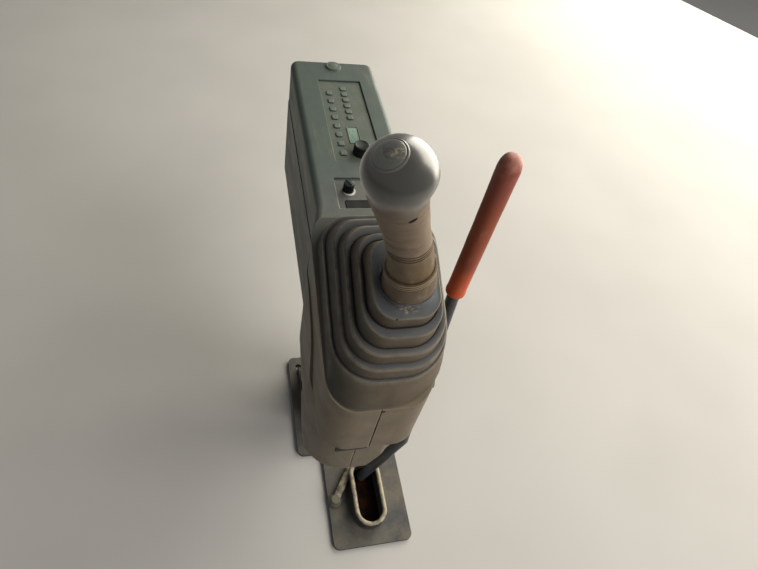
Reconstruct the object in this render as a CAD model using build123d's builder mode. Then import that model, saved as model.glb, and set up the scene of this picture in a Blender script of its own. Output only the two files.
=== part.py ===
# Left-hand control console of a crawler excavator.
# Millimetres. +Z up, +Y to the rear of the cab, +X to the door.
# The origin is the middle of the four floor bolts, on the cab floor.
import os
from math import acos, cos, radians, sin, tan

from build123d import *

os.makedirs("parts", exist_ok=True)

# Covers
TOP_Z = 480.0
REAR_Y = 315.0
SLOPE_Y = -16.0
NOSE_Y = -212.0
SLOPE_DEG = 25.0
HALF_W = 71.5
REAR_HALF_W = 61.0
WAIST_REAR_Y = 4.0
WAIST_FRONT_Y = -42.0
WALL = 3.0
WAIST_R = 40.0
REAR_R = 12.0
SHOULDER_R = 8.0
PART_Z = 416.0
NOSE_PART_Z = 296.0
SEAM_W = 1.4
SEAM_X = -10.0
SEAT_GAP = 0.3
LOWER_PROUD = 1.0
LOWER_FRONT_Y = -182.0
LOWER_REAR_Y = 317.0
LOWER_Z = 286.0
SKIRT_Z = 158.0
NOTCH_Y = -93.0
NOTCH_Z = 240.0
NOTCH_R = 9.0

# Corners of the two noses: front left, front right and the cheek at the door side
UPPER_NOSE = [
    # x, y, corner radius
    (-67.0, NOSE_Y, 34.0),
    (39.0, NOSE_Y, 34.0),
    (HALF_W, -152.8, 70.0),
]
LOWER_NOSE = [
    # x, y, corner radius
    (-HALF_W, LOWER_FRONT_Y + LOWER_PROUD, 58.0),
    (30.0, LOWER_FRONT_Y + LOWER_PROUD, 10.0),
    (HALF_W, -128.0, 60.0),
]

# Slanted seat of the boot: its middle, seen in the cover's centre plane
SEAT_V_MID = 106.0
SEAT_Y = SLOPE_Y - SEAT_V_MID * cos(radians(SLOPE_DEG))
SEAT_Z = TOP_Z - SEAT_V_MID * sin(radians(SLOPE_DEG))
NOSE_TOP_Z = TOP_Z - (SLOPE_Y - NOSE_Y) * tan(radians(SLOPE_DEG))
SEAT = Plane(
    origin=(0, SEAT_Y, SEAT_Z),
    x_dir=(1, 0, 0),
    z_dir=(0, -sin(radians(SLOPE_DEG)), cos(radians(SLOPE_DEG))),
)
BOOT_HOLE_X = 100.0
BOOT_HOLE_Y = 180.0
BOOT_HOLE_R = 34.0
BOOT_WALL = 2.5

# Edges of the boot's folds on the slanted seat, from the foot up. Each fold stands on one row
# and ends in the next. The folds lean to the left and their right front corners are rounder.
FOLDS = [
    # height, left, right, front, rear, left_r, right_r, rear_r
    ((0.0, -70.0, 68.0, -110.0, 104.0, 36.0, 70.0, 40.0), (30.0, -66.0, 61.5, -83.0, 100.0, 46.0, 52.0, 36.0)),
    ((30.0, -60.5, 57.0, -78.0, 92.0, 40.0, 46.0, 30.0), (50.0, -55.5, 53.5, -72.5, 84.0, 34.0, 44.0, 28.0)),
    ((50.0, -52.5, 49.5, -66.0, 76.0, 32.0, 40.0, 26.0), (70.0, -51.5, 46.0, -60.5, 69.0, 31.0, 38.0, 25.0)),
    ((70.0, -47.5, 41.0, -54.5, 61.0, 29.0, 34.0, 24.0), (94.0, -45.0, 36.5, -48.0, 54.0, 27.0, 30.0, 22.0)),
    ((94.0, -42.0, 32.0, -38.0, 47.0, 25.0, 26.0, 20.0), (112.0, -40.0, 29.0, -34.0, 42.0, 23.0, 23.0, 20.0)),
    ((112.0, -34.0, 26.0, -30.0, 32.0, 22.0, 22.0, 20.0), (121.0, -29.0, 23.0, -26.0, 28.0, 22.0, 22.0, 20.0)),
]
BOOT_H = FOLDS[-1][1][0]
FOLD_FLATS = 6
ROOM_FLATS = 3

# Joystick
PIVOT = Vector(0, SEAT_Y - 40.0, TOP_Z - 75.0)
COLLAR_X = -3.0
COLLAR_V = 1.2
COLLAR_BASE = SEAT.from_local_coords(Vector(COLLAR_X, COLLAR_V, BOOT_H))
KNOB_LEFT = 38.0
KNOB_FRONT = 10.0
KNOB_RISE = 128.6
KNOB = COLLAR_BASE + Vector(-KNOB_LEFT, -KNOB_FRONT, KNOB_RISE)
ROD_STRAIGHT = 34.0
ROD_BEND = COLLAR_BASE - (KNOB - COLLAR_BASE).normalized() * ROD_STRAIGHT
ROD_R = 7.0
KNOB_R = 29.0
PIN_R = 4.0
RUN_GAP = 0.05
STICK_DEG = 14.0

# Carrier, pedestal and floor plate
PLATE_T = 6.0
FLANGE_T = 6.0
PEDESTAL_X = 70.0
PEDESTAL_Y = 100.0
PEDESTAL_MID_Y = 15.0
TUBE_WALL = 4.0
BOLT_X = 90.0
BOLT_Y = 150.0
BOLT_R = 5.5

# Slot collar and lock lever
SLOT_X = 39.0
SLOT_Y = -174.0
SLOT_L = 92.0
SLOT_W = 34.0
RIM = 9.0
RIM_H = 22.0
LEVER_CLEAR = 16.6
LEVER_X = HALF_W + LEVER_CLEAR
HUB_Z = 272.0
HUB_R = 14.0
HUB_LEN = 16.0
LEVER_PIN_R = 8.0
LEVER_ROD_R = 7.5
GRIP_Y = -101.5
GRIP_BOTTOM_Z = 443.0
GRIP_TOP_Z = 638.0
GRIP_R = 11.5
LEVER_FOOT = Vector(SLOT_X - 4.5, SLOT_Y + 30.0, 9.0)
LEVER_BEND = Vector(LEVER_X, LEVER_FOOT.Y + 10.5, 117.0)
GRIP_BEND_Z = 430.0
HUB_Y = GRIP_Y + (LEVER_BEND.Y - GRIP_Y) * (GRIP_BEND_Z - HUB_Z) / (GRIP_BEND_Z - LEVER_BEND.Z)

# Radio and switches in the rear top
RADIO_X = 3.5
RADIO_Y = 173.0
RADIO_W = 61.0
RADIO_L = 180.0
RADIO_SUNK = 2.0
RADIO_GAP = 0.5
FACE_T = 6.0
PANEL_Y = 25.0
PANEL_W = 69.0
PANEL_L = 53.0
PANEL_T = 3.0
PANEL_SUNK = 2.0
CHASSIS_H = 150.0
CHASSIS_ROOM = 16.0
FACE_TOP = TOP_Z - RADIO_SUNK
PANEL_TOP = TOP_Z - PANEL_SUNK
CARRIER_Z = FACE_TOP - FACE_T - CHASSIS_H - CHASSIS_ROOM - PLATE_T


def save(builder, label):
    builder.part.label = label
    export_step(builder.part, "parts/" + label + ".step")


def plan_face(nose, grow):
    """Plan of a cover: wide round the boot, narrower behind it, with the door side of its nose cut back."""
    corners = [
        # x, y, corner radius
        *nose,
        (HALF_W, WAIST_FRONT_Y, WAIST_R),
        (REAR_HALF_W, WAIST_REAR_Y, WAIST_R),
        (REAR_HALF_W, REAR_Y, REAR_R),
        (-REAR_HALF_W, REAR_Y, REAR_R),
        (-REAR_HALF_W, WAIST_REAR_Y, WAIST_R),
        (-HALF_W, WAIST_FRONT_Y, WAIST_R),
    ]
    with BuildSketch(mode=Mode.PRIVATE) as plan:
        with BuildLine():
            Polyline(*[(x, y) for x, y, r in corners], close=True)
        make_face()
        for x, y, r in corners:
            fillet(plan.vertices().sort_by_distance((x, y, 0))[0], r)
        if grow:
            offset(amount=grow, mode=Mode.REPLACE)
    return plan.sketch


def side_face(top, low_rear_z, low_front_z, front_y, rear_y, curve):
    """Side view of a cover, drawn in Y and Z."""
    with BuildSketch(Plane.YZ, mode=Mode.PRIVATE) as side:
        with BuildLine():
            Polyline((rear_y, low_rear_z), *top, (front_y, low_front_z), curve[0])
            Spline(*curve, tangents=[(0.5, 1.0), (1.0, 0.0)])
            Line(curve[-1], (rear_y, low_rear_z))
        make_face()
    return side.sketch


# Parting line between the covers, from the nose to the rear
PARTING = [(-166.0, NOSE_PART_Z), (-134.0, 322.0), (-110.0, 375.0), (-74.0, 405.0), (-30.0, PART_Z)]
LOWER_EDGE = [(-146.0, SKIRT_Z), (-128.0, 182.0), (-98.0, 226.0), (-76.0, 256.0), (-20.0, LOWER_Z)]
CHEEK_CUT = [(12.0, SKIRT_Z - 1), (29.0, 190.0), (HALF_W + 5, 232.0), (HALF_W + 5, SKIRT_Z - 1)]
CHEEK_END_Y = -90.0


def cover(nose, grow, top, low_rear_z, low_front_z, curve):
    """Outer block of a cover: its side view crossed with its plan."""
    with BuildPart(mode=Mode.PRIVATE) as block:
        side = side_face(top, low_rear_z, low_front_z, nose[0][1] - grow, REAR_Y + grow, curve)
        extrude(side, amount=HALF_W + grow + 5, dir=(1, 0, 0), both=True)
        with BuildSketch(Plane.XY):
            add(plan_face(nose, grow))
        extrude(amount=TOP_Z + 20, mode=Mode.INTERSECT)
    return block.part


def hollow(low_z, slope_y, top_z, nose_z):
    """Inside of the upper cover, open below."""
    front_y = NOSE_Y + WALL
    rear_y = REAR_Y - WALL
    with BuildPart(mode=Mode.PRIVATE) as room:
        with BuildSketch(Plane.YZ):
            with BuildLine():
                Polyline(
                    (rear_y, low_z),
                    (rear_y, top_z),
                    (slope_y, top_z),
                    (front_y, nose_z),
                    (front_y, low_z),
                    close=True,
                )
            make_face()
        extrude(amount=HALF_W + 5, both=True)
        with BuildSketch(Plane.XY):
            add(plan_face(UPPER_NOSE, -WALL))
        extrude(amount=TOP_Z + 20, mode=Mode.INTERSECT)
    return room.part


LEDGE = 4.0
LEDGE_T = 3.0
SUNK_SEATS = [
    # x, y, width, length, seat_z
    (RADIO_X, RADIO_Y, RADIO_W, RADIO_L, FACE_TOP - FACE_T),
    (0.0, PANEL_Y, PANEL_W, PANEL_L, PANEL_TOP - PANEL_T),
]
SLOPE_DROP = WALL / cos(radians(SLOPE_DEG))

with BuildPart() as upper_cover:
    add(
        cover(
            UPPER_NOSE, 0.0,
            [(REAR_Y, TOP_Z), (SLOPE_Y, TOP_Z), (NOSE_Y, NOSE_TOP_Z)],
            PART_Z, NOSE_PART_Z, PARTING,
        )
    )
    rims = upper_cover.edges().filter_by_position(Axis.Z, TOP_Z - 0.1, TOP_Z + 0.1)
    rims = rims.filter_by_position(Axis.Y, SLOPE_Y + 0.5, REAR_Y + 1)
    fillet(rims, SHOULDER_R)
    add(
        hollow(
            NOSE_PART_Z + WALL, SLOPE_Y - 0.7, TOP_Z - WALL,
            NOSE_TOP_Z - SLOPE_DROP + WALL * tan(radians(SLOPE_DEG)),
        ),
        mode=Mode.SUBTRACT,
    )
    with BuildSketch(Plane.XY.offset(NOSE_PART_Z - 5)):
        add(plan_face(LOWER_NOSE, -WALL))
    extrude(amount=20, mode=Mode.SUBTRACT)
    with BuildSketch(SEAT):
        RectangleRounded(BOOT_HOLE_X, BOOT_HOLE_Y, BOOT_HOLE_R)
    extrude(amount=15, both=True, mode=Mode.SUBTRACT)
    # Ledges that carry the radio and the switch panel
    for x, y, width, length, seat_z in SUNK_SEATS:
        with BuildSketch(Plane.XY.offset(seat_z - LEDGE_T)):
            with Locations((x, y)):
                Rectangle(width + 2 * LEDGE, length + 2 * LEDGE)
        extrude(amount=TOP_Z - WALL + 1 - seat_z + LEDGE_T)
        with BuildSketch(Plane.XY.offset(seat_z)):
            with Locations((x, y)):
                Rectangle(width, length)
        extrude(amount=20, mode=Mode.SUBTRACT)
        with BuildSketch(Plane.XY.offset(seat_z - 2 * LEDGE_T)):
            with Locations((x, y)):
                Rectangle(width - 2 * LEDGE, length - 2 * LEDGE)
        extrude(amount=20, mode=Mode.SUBTRACT)
    with Locations((SEAM_X, NOSE_Y, (NOSE_PART_Z + NOSE_TOP_Z) / 2)):
        Box(SEAM_W, 4 * WALL, NOSE_TOP_Z - NOSE_PART_Z + 30, mode=Mode.SUBTRACT)
save(upper_cover, "upper_cover")

with BuildPart() as lower_cover:
    add(
        cover(
            LOWER_NOSE, LOWER_PROUD,
            [(LOWER_REAR_Y, TOP_Z), (LOWER_FRONT_Y, TOP_Z)],
            LOWER_Z, SKIRT_Z, LOWER_EDGE,
        )
    )
    with BuildSketch(Plane.YZ):
        with BuildLine():
            Polyline(
                (LOWER_REAR_Y + 5, PART_Z - SEAT_GAP),
                (LOWER_REAR_Y + 5, TOP_Z + 30),
                (LOWER_FRONT_Y - 5, TOP_Z + 30),
                (LOWER_FRONT_Y - 5, NOSE_PART_Z - SEAT_GAP),
                (PARTING[0][0], NOSE_PART_Z - SEAT_GAP),
            )
            Spline(*[(y, z - SEAT_GAP) for y, z in PARTING], tangents=[(0.5, 1.0), (1.0, 0.0)])
            Line((PARTING[-1][0], PART_Z - SEAT_GAP), (LOWER_REAR_Y + 5, PART_Z - SEAT_GAP))
        make_face()
    extrude(amount=HALF_W + 10, both=True, mode=Mode.SUBTRACT)
    with BuildSketch(Plane.XY):
        add(plan_face(LOWER_NOSE, LOWER_PROUD - WALL))
    extrude(amount=TOP_Z + 20, mode=Mode.SUBTRACT)
    # The lower edge rises to the door side of the nose
    with BuildSketch(Plane.XZ.offset(-LOWER_FRONT_Y + WALL)):
        Polygon(*CHEEK_CUT, align=None)
    extrude(amount=LOWER_FRONT_Y - CHEEK_END_Y - WALL, mode=Mode.SUBTRACT)
    with Locations((-HALF_W, NOTCH_Y, NOTCH_Z)):
        Cylinder(NOTCH_R, 6 * WALL, rotation=(0, 90, 0), mode=Mode.SUBTRACT)
    with Locations((HALF_W, HUB_Y, HUB_Z)):
        Cylinder(HUB_R, 8 * WALL, rotation=(0, 90, 0), mode=Mode.SUBTRACT)
    with Locations((SEAM_X, LOWER_FRONT_Y, (NOSE_PART_Z + SKIRT_Z) / 2)):
        Box(SEAM_W, 4 * WALL, 200, mode=Mode.SUBTRACT)
save(lower_cover, "lower_cover")


def fold_edge(row, flats, shrink=0.0):
    """One edge of a fold, drawn on the slanted seat. Each round corner is a few short flats."""
    height, left, right, front, rear, left_r, right_r, rear_r = row
    corners = [
        # centre_x, centre_y, corner radius, first angle
        (left + left_r, front + left_r, left_r, 180),
        (right - right_r, front + right_r, right_r, 270),
        (right - rear_r, rear - rear_r, rear_r, 0),
        (left + rear_r, rear - rear_r, rear_r, 90),
    ]
    points = []
    for x, y, r, first in corners:
        turns = [radians(first + 90 * k / flats) for k in range(flats + 1)]
        points += [(x + (r - shrink) * cos(turn), y + (r - shrink) * sin(turn)) for turn in turns]
    with BuildSketch(mode=Mode.PRIVATE) as edge:
        with BuildLine():
            Polyline(*points, close=True)
        make_face()
    return edge.sketch


COLLAR_HOLE_R = 17.0
with BuildPart() as boot_folds:
    for foot, top in FOLDS:
        with BuildSketch(SEAT.offset(foot[0] + SEAT_GAP)):
            add(fold_edge(foot, FOLD_FLATS))
        with BuildSketch(SEAT.offset(top[0] + SEAT_GAP)):
            add(fold_edge(top, FOLD_FLATS))
        loft(ruled=True)
    # The hollow follows the feet of the folds
    feet = [foot for foot, top in FOLDS]
    for low, high in zip(feet, feet[1:]):
        with BuildPart(mode=Mode.PRIVATE) as room:
            with BuildSketch(SEAT.offset(low[0] - 2 * BOOT_WALL)):
                add(fold_edge(low, ROOM_FLATS, 2 * BOOT_WALL))
            with BuildSketch(SEAT.offset(high[0] - BOOT_WALL)):
                add(fold_edge(high, ROOM_FLATS, 2 * BOOT_WALL))
            loft(ruled=True)
        add(room.part, mode=Mode.SUBTRACT)
    with BuildSketch(SEAT.offset(BOOT_H / 2)):
        with Locations((COLLAR_X, COLLAR_V)):
            Circle(COLLAR_HOLE_R)
    extrude(amount=BOOT_H, mode=Mode.SUBTRACT)
save(boot_folds, "boot_folds")

# Joystick: a vertical lower rod, then a lean to the knob
LEAN = Plane(origin=COLLAR_BASE, x_dir=(0, 1, 0), z_dir=KNOB - COLLAR_BASE)
REACH = (KNOB - COLLAR_BASE).length
GRIP_FROM = 18.0
COLLAR = [(26.0, -25.0), (24.0, 0.0), (22.8, GRIP_FROM - 2 * RUN_GAP)]
NECK = [(22.0, GRIP_FROM), (21.0, 30.0), (19.6, 48.0), (19.8, 75.0), (20.8, 92.0)]


def turned(outline, bore):
    """A turned piece about the leaning rod, from radius and height pairs."""
    with BuildPart(mode=Mode.PRIVATE) as piece:
        with BuildSketch(Plane(origin=LEAN.origin, x_dir=LEAN.x_dir, z_dir=-LEAN.y_dir)):
            with BuildLine():
                low = outline[0]
                high = outline[-1]
                Polyline(*outline, (bore, high[1]), (bore, low[1]), low)
            make_face()
        revolve(axis=Axis(LEAN.origin, LEAN.z_dir))
    return piece.part


with BuildPart() as boot_collar:
    add(turned(COLLAR, ROD_R + RUN_GAP))
    with BuildSketch(SEAT.offset(BOOT_H + 2 * SEAT_GAP)):
        Rectangle(200, 300)
    extrude(amount=-80, mode=Mode.SUBTRACT)
save(boot_collar, "boot_collar")

HEAD_FLAT_R = 13.0
HEAD_TOP = REACH + (KNOB_R**2 - HEAD_FLAT_R**2) ** 0.5
HEAD_FOOT_R = 22.5
HEAD_LOW = -acos(HEAD_FOOT_R / KNOB_R)
HEAD_HIGH = acos(HEAD_FLAT_R / KNOB_R)
HEAD_BANDS = 9
HEAD_TURNS = [HEAD_LOW + (HEAD_HIGH - HEAD_LOW) * k / HEAD_BANDS for k in range(HEAD_BANDS + 1)]
HEAD = [(KNOB_R * cos(turn), REACH + KNOB_R * sin(turn)) for turn in HEAD_TURNS]
BORE_END = REACH - 8
with BuildPart() as joystick_grip:
    with BuildSketch(Plane(origin=LEAN.origin, x_dir=LEAN.x_dir, z_dir=-LEAN.y_dir)):
        with BuildLine():
            Polyline(
                *NECK,
                *HEAD,
                (0, HEAD_TOP),
                (0, BORE_END),
                (ROD_R + RUN_GAP, BORE_END),
                (ROD_R + RUN_GAP, NECK[0][1]),
                NECK[0],
            )
        make_face()
    revolve(axis=Axis(LEAN.origin, LEAN.z_dir))
save(joystick_grip, "joystick_grip")

with BuildPart() as grip_cap:
    with BuildSketch(LEAN.offset(HEAD_TOP)):
        Circle(HEAD_FLAT_R)
    extrude(amount=3, taper=30)
save(grip_cap, "grip_cap")

HUB_HALF = 8.0
RING_HALF = 20.0
RING_IN = 14.0
with BuildPart() as joystick_rod:
    with BuildLine() as rod_path:
        Polyline(PIVOT, ROD_BEND, COLLAR_BASE + (KNOB - COLLAR_BASE) * ((REACH - 10) / REACH))
    with BuildSketch(Plane(origin=PIVOT, z_dir=ROD_BEND - PIVOT)):
        Circle(ROD_R)
    sweep(transition=Transition.ROUND)
    with Locations(PIVOT):
        Box(2 * HUB_HALF, 2 * HUB_HALF, 2 * HUB_HALF)
        Cylinder(PIN_R, 2 * RING_HALF, rotation=(90, 0, 0))
save(joystick_rod, "joystick_rod")

EAR_X = 25.0
EAR_T = 6.0
with BuildPart() as gimbal_ring:
    with Locations(PIVOT):
        Box(2 * RING_HALF, 2 * RING_HALF, 12)
        Box(2 * RING_IN, 2 * RING_IN, 12, mode=Mode.SUBTRACT)
        Cylinder(PIN_R + RUN_GAP, 3 * RING_HALF, rotation=(90, 0, 0), mode=Mode.SUBTRACT)
    for side in (-1, 1):
        with Locations(PIVOT + Vector(side * (RING_HALF + EAR_X + EAR_T - 2) / 2, 0, 0)):
            Cylinder(PIN_R, EAR_X + EAR_T - RING_HALF + 2, rotation=(0, 90, 0))
save(gimbal_ring, "gimbal_ring")

VALVE_TOP = PIVOT.Z - 25.0
with BuildPart() as pivot_yoke:
    with Locations((0, PIVOT.Y, VALVE_TOP + 2)):
        Box(2 * (EAR_X + EAR_T), 44, 4)
    for side in (-1, 1):
        with Locations((side * (EAR_X + EAR_T / 2), PIVOT.Y, (VALVE_TOP + PIVOT.Z + 8) / 2)):
            Box(EAR_T, 18, PIVOT.Z + 8 - VALVE_TOP)
    with Locations(PIVOT):
        Cylinder(PIN_R + RUN_GAP, 3 * EAR_X, rotation=(0, 90, 0), mode=Mode.SUBTRACT)
save(pivot_yoke, "pivot_yoke")

with BuildPart() as valve_block:
    with Locations((0, PIVOT.Y, (VALVE_TOP + CARRIER_Z + PLATE_T) / 2)):
        Box(78, 48, VALVE_TOP - CARRIER_Z - PLATE_T)
save(valve_block, "valve_block")

with BuildPart() as carrier_plate:
    with BuildSketch(Plane.XY.offset(CARRIER_Z)):
        add(
            plan_face(LOWER_NOSE, LOWER_PROUD - WALL - SEAT_GAP)
        )
    extrude(amount=PLATE_T)
    with Locations(*[(x, PIVOT.Y, CARRIER_Z + 3) for x in (-24, -8, 8, 24)]):
        Cylinder(6.5, 3 * PLATE_T, mode=Mode.SUBTRACT)
save(carrier_plate, "carrier_plate")

with BuildPart() as valve_hoses:
    for x in (-24, -8, 8, 24):
        with Locations((x, PIVOT.Y, (CARRIER_Z - 54 + CARRIER_Z + PLATE_T) / 2)):
            Cylinder(6.2, 54 + PLATE_T)
save(valve_hoses, "valve_hoses")

with BuildPart() as pedestal:
    with Locations((0, PEDESTAL_MID_Y, PLATE_T + FLANGE_T / 2), (0, PEDESTAL_MID_Y, CARRIER_Z - FLANGE_T / 2)):
        Box(PEDESTAL_X + 20, PEDESTAL_Y + 10, FLANGE_T)
    with Locations((0, PEDESTAL_MID_Y, (PLATE_T + CARRIER_Z) / 2)):
        Box(PEDESTAL_X, PEDESTAL_Y, CARRIER_Z - PLATE_T)
        Box(PEDESTAL_X - 2 * TUBE_WALL, PEDESTAL_Y - 2 * TUBE_WALL, CARRIER_Z, mode=Mode.SUBTRACT)
save(pedestal, "pedestal")

with BuildPart() as base_plate:
    with BuildSketch() as outline:
        Rectangle(124, 190)
        with Locations((SLOT_X, -155)):
            Rectangle(124, 190)
        fillet(outline.vertices(), 10)
    extrude(amount=PLATE_T)
    with BuildSketch():
        with GridLocations(BOLT_X, BOLT_Y, 2, 2):
            Circle(BOLT_R)
        with Locations((SLOT_X, SLOT_Y)):
            SlotOverall(SLOT_L, SLOT_W, rotation=90)
    extrude(amount=PLATE_T, mode=Mode.SUBTRACT)
save(base_plate, "base_plate")

with BuildPart() as slot_collar:
    with BuildSketch(Plane.XY.offset(PLATE_T)):
        with Locations((SLOT_X, SLOT_Y)):
            SlotOverall(SLOT_L + 2 * RIM, SLOT_W + 2 * RIM, rotation=90)
            SlotOverall(SLOT_L, SLOT_W, rotation=90, mode=Mode.SUBTRACT)
    extrude(amount=RIM_H)
save(slot_collar, "slot_collar")

# Lock lever: bracket on the carrier, pin through the lower cover, rod and grip
BRACKET_X = 48.0
with BuildPart() as lever_bracket:
    with Locations((BRACKET_X + 4, HUB_Y, (CARRIER_Z + HUB_Z - 18) / 2)):
        Box(8, 44, CARRIER_Z - HUB_Z + 18)
    with BuildSketch(Plane.YZ.offset(BRACKET_X + 8)):
        with Locations((HUB_Y, HUB_Z)):
            Circle(12)
    extrude(amount=LEVER_X - HUB_LEN / 2 - SEAT_GAP - BRACKET_X - 8)
    with BuildSketch(Plane.YZ.offset(BRACKET_X + 8)):
        with Locations((HUB_Y, HUB_Z)):
            Circle(LEVER_PIN_R)
    extrude(amount=LEVER_X + HUB_LEN / 2 + 4 - BRACKET_X - 8)
save(lever_bracket, "lever_bracket")

with BuildPart() as pivot_washer:
    with BuildSketch(Plane.YZ.offset(LEVER_X + HUB_LEN / 2 + SEAT_GAP)):
        with Locations((HUB_Y, HUB_Z)):
            Circle(12)
            Circle(LEVER_PIN_R, mode=Mode.SUBTRACT)
    extrude(amount=3)
save(pivot_washer, "pivot_washer")

with BuildPart() as lock_lever_rod:
    with BuildLine():
        Polyline(
            (LEVER_X, GRIP_Y, GRIP_TOP_Z - 20),
            (LEVER_X, GRIP_Y, GRIP_BEND_Z),
            LEVER_BEND,
            LEVER_FOOT,
        )
    with BuildSketch(Plane((LEVER_X, GRIP_Y, GRIP_TOP_Z - 20), z_dir=(0, 0, -1))):
        Circle(LEVER_ROD_R)
    sweep(transition=Transition.ROUND)
    with Locations((LEVER_X, HUB_Y, HUB_Z)):
        Cylinder(HUB_R, HUB_LEN, rotation=(0, 90, 0))
        Cylinder(LEVER_PIN_R + RUN_GAP, 2 * HUB_LEN, rotation=(0, 90, 0), mode=Mode.SUBTRACT)
save(lock_lever_rod, "lock_lever_rod")

with BuildPart() as lock_lever_grip:
    with Locations((LEVER_X, GRIP_Y, (GRIP_BOTTOM_Z + GRIP_TOP_Z) / 2)):
        Cylinder(GRIP_R, GRIP_TOP_Z - GRIP_BOTTOM_Z)
    chamfer(lock_lever_grip.edges().group_by(Axis.Z)[-1], 6)
    chamfer(lock_lever_grip.edges().group_by(Axis.Z)[0], 3)
    with Locations((LEVER_X, GRIP_Y, (GRIP_BOTTOM_Z + GRIP_TOP_Z - 20) / 2)):
        Cylinder(LEVER_ROD_R, GRIP_TOP_Z - 20 - GRIP_BOTTOM_Z + 0.01, mode=Mode.SUBTRACT)
save(lock_lever_grip, "lock_lever_grip")

# Radio
DISPLAY_X = 1.5
DISPLAY_Y = -35.0
DISPLAY_W = 13.0
DISPLAY_L = 33.0
DISPLAY_T = 1.5
DISPLAY_SUNK = 0.5
with BuildPart() as radio_face:
    with Locations((RADIO_X, RADIO_Y, FACE_TOP - FACE_T / 2)):
        Box(RADIO_W - 2 * RADIO_GAP, RADIO_L - 2 * RADIO_GAP, FACE_T)
    with Locations((RADIO_X + DISPLAY_X, RADIO_Y + DISPLAY_Y, FACE_TOP)):
        Box(DISPLAY_W, DISPLAY_L, 2 * DISPLAY_SUNK + 2 * DISPLAY_T, mode=Mode.SUBTRACT)
save(radio_face, "radio_face")

with BuildPart() as radio_display:
    with Locations((RADIO_X + DISPLAY_X, RADIO_Y + DISPLAY_Y, FACE_TOP - DISPLAY_SUNK - DISPLAY_T / 2)):
        Box(DISPLAY_W, DISPLAY_L, DISPLAY_T)
save(radio_display, "radio_display")

with BuildPart() as radio_chassis:
    with Locations((RADIO_X, RADIO_Y, FACE_TOP - FACE_T - CHASSIS_H / 2)):
        Box(RADIO_W - 12, RADIO_L - 12, CHASSIS_H)
save(radio_chassis, "radio_chassis")

BUTTONS = [
    # count, x, rear_y, front_y (from the radio's middle), length_x, length_y
    (8, -18.1, 59.4, -72.5, 8.0, 10.0),
    (6, 2.7, 71.0, 3.0, 8.0, 9.0),
]
with BuildPart() as radio_buttons:
    for count, x, rear_y, front_y, size_x, size_y in BUTTONS:
        step = (rear_y - front_y) / (count - 1)
        rows = [(RADIO_X + x, RADIO_Y + rear_y - step * k, FACE_TOP + 0.75) for k in range(count)]
        with Locations(*rows):
            Box(size_x, size_y, 1.5)
save(radio_buttons, "radio_buttons")

VOLUME_X = RADIO_X + 4.5
VOLUME_Y = RADIO_Y - 72.0
with BuildPart() as volume_knob:
    with Locations((VOLUME_X, VOLUME_Y, FACE_TOP + 7)):
        Cylinder(9.5, 14)
    chamfer(volume_knob.edges().group_by(Axis.Z)[-1], 1)
save(volume_knob, "volume_knob")

with BuildPart() as switch_panel:
    with Locations((0, PANEL_Y, PANEL_TOP - PANEL_T / 2)):
        Box(PANEL_W - 0.6, PANEL_L - 0.6, PANEL_T)
save(switch_panel, "switch_panel")

with BuildPart() as rotary_switch:
    with Locations((-19, PANEL_Y + 4.6, PANEL_TOP + 7)):
        Cylinder(6, 14)
save(rotary_switch, "rotary_switch")

with BuildPart() as label_plate:
    with Locations((-3, PANEL_Y - 18.5, PANEL_TOP + 0.5)):
        Box(46, 14, 1)
save(label_plate, "label_plate")

with BuildPart() as round_cap:
    with Locations((0, REAR_Y - 17, TOP_Z + 1.5)):
        Cylinder(11, 3)
    chamfer(round_cap.edges().group_by(Axis.Z)[-1], 1)
save(round_cap, "round_cap")
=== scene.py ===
# %% [markdown]
# Left-hand control console of a crawler excavator.
#
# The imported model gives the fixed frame: covers, stand, lever, radio and joints, all in metres.
# This lesson dresses it: the rubber boot, the joystick grip, the lock lever's sleeve, the radio's
# keys and the finishes. Where a moulded part is soft or rounded, a new piece takes its place.

from math import atan2, cos, pi, radians, sin

import bmesh
import bpy
from mathutils import Matrix, Vector, noise


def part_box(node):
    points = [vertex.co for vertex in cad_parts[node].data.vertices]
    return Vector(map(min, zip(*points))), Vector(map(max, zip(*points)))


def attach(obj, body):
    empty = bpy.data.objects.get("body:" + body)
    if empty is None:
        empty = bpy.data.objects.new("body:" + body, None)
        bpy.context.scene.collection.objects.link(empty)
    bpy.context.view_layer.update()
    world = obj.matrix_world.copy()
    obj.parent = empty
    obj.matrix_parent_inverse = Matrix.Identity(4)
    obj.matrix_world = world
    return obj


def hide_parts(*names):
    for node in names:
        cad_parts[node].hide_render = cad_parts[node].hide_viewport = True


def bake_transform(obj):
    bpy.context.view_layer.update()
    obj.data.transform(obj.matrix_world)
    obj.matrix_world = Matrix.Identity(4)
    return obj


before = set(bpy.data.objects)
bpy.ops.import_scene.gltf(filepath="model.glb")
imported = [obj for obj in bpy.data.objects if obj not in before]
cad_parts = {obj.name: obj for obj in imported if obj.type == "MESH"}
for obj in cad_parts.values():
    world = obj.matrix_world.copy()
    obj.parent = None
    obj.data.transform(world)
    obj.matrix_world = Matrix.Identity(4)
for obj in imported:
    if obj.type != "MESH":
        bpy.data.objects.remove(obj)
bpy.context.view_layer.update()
MM = 0.001

# %% [markdown]
# The camera stands where the operator's eyes are, over the front left corner, and looks steeply
# down. Its turn is written as the three directions that the picture gives: right, up and back.

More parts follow.
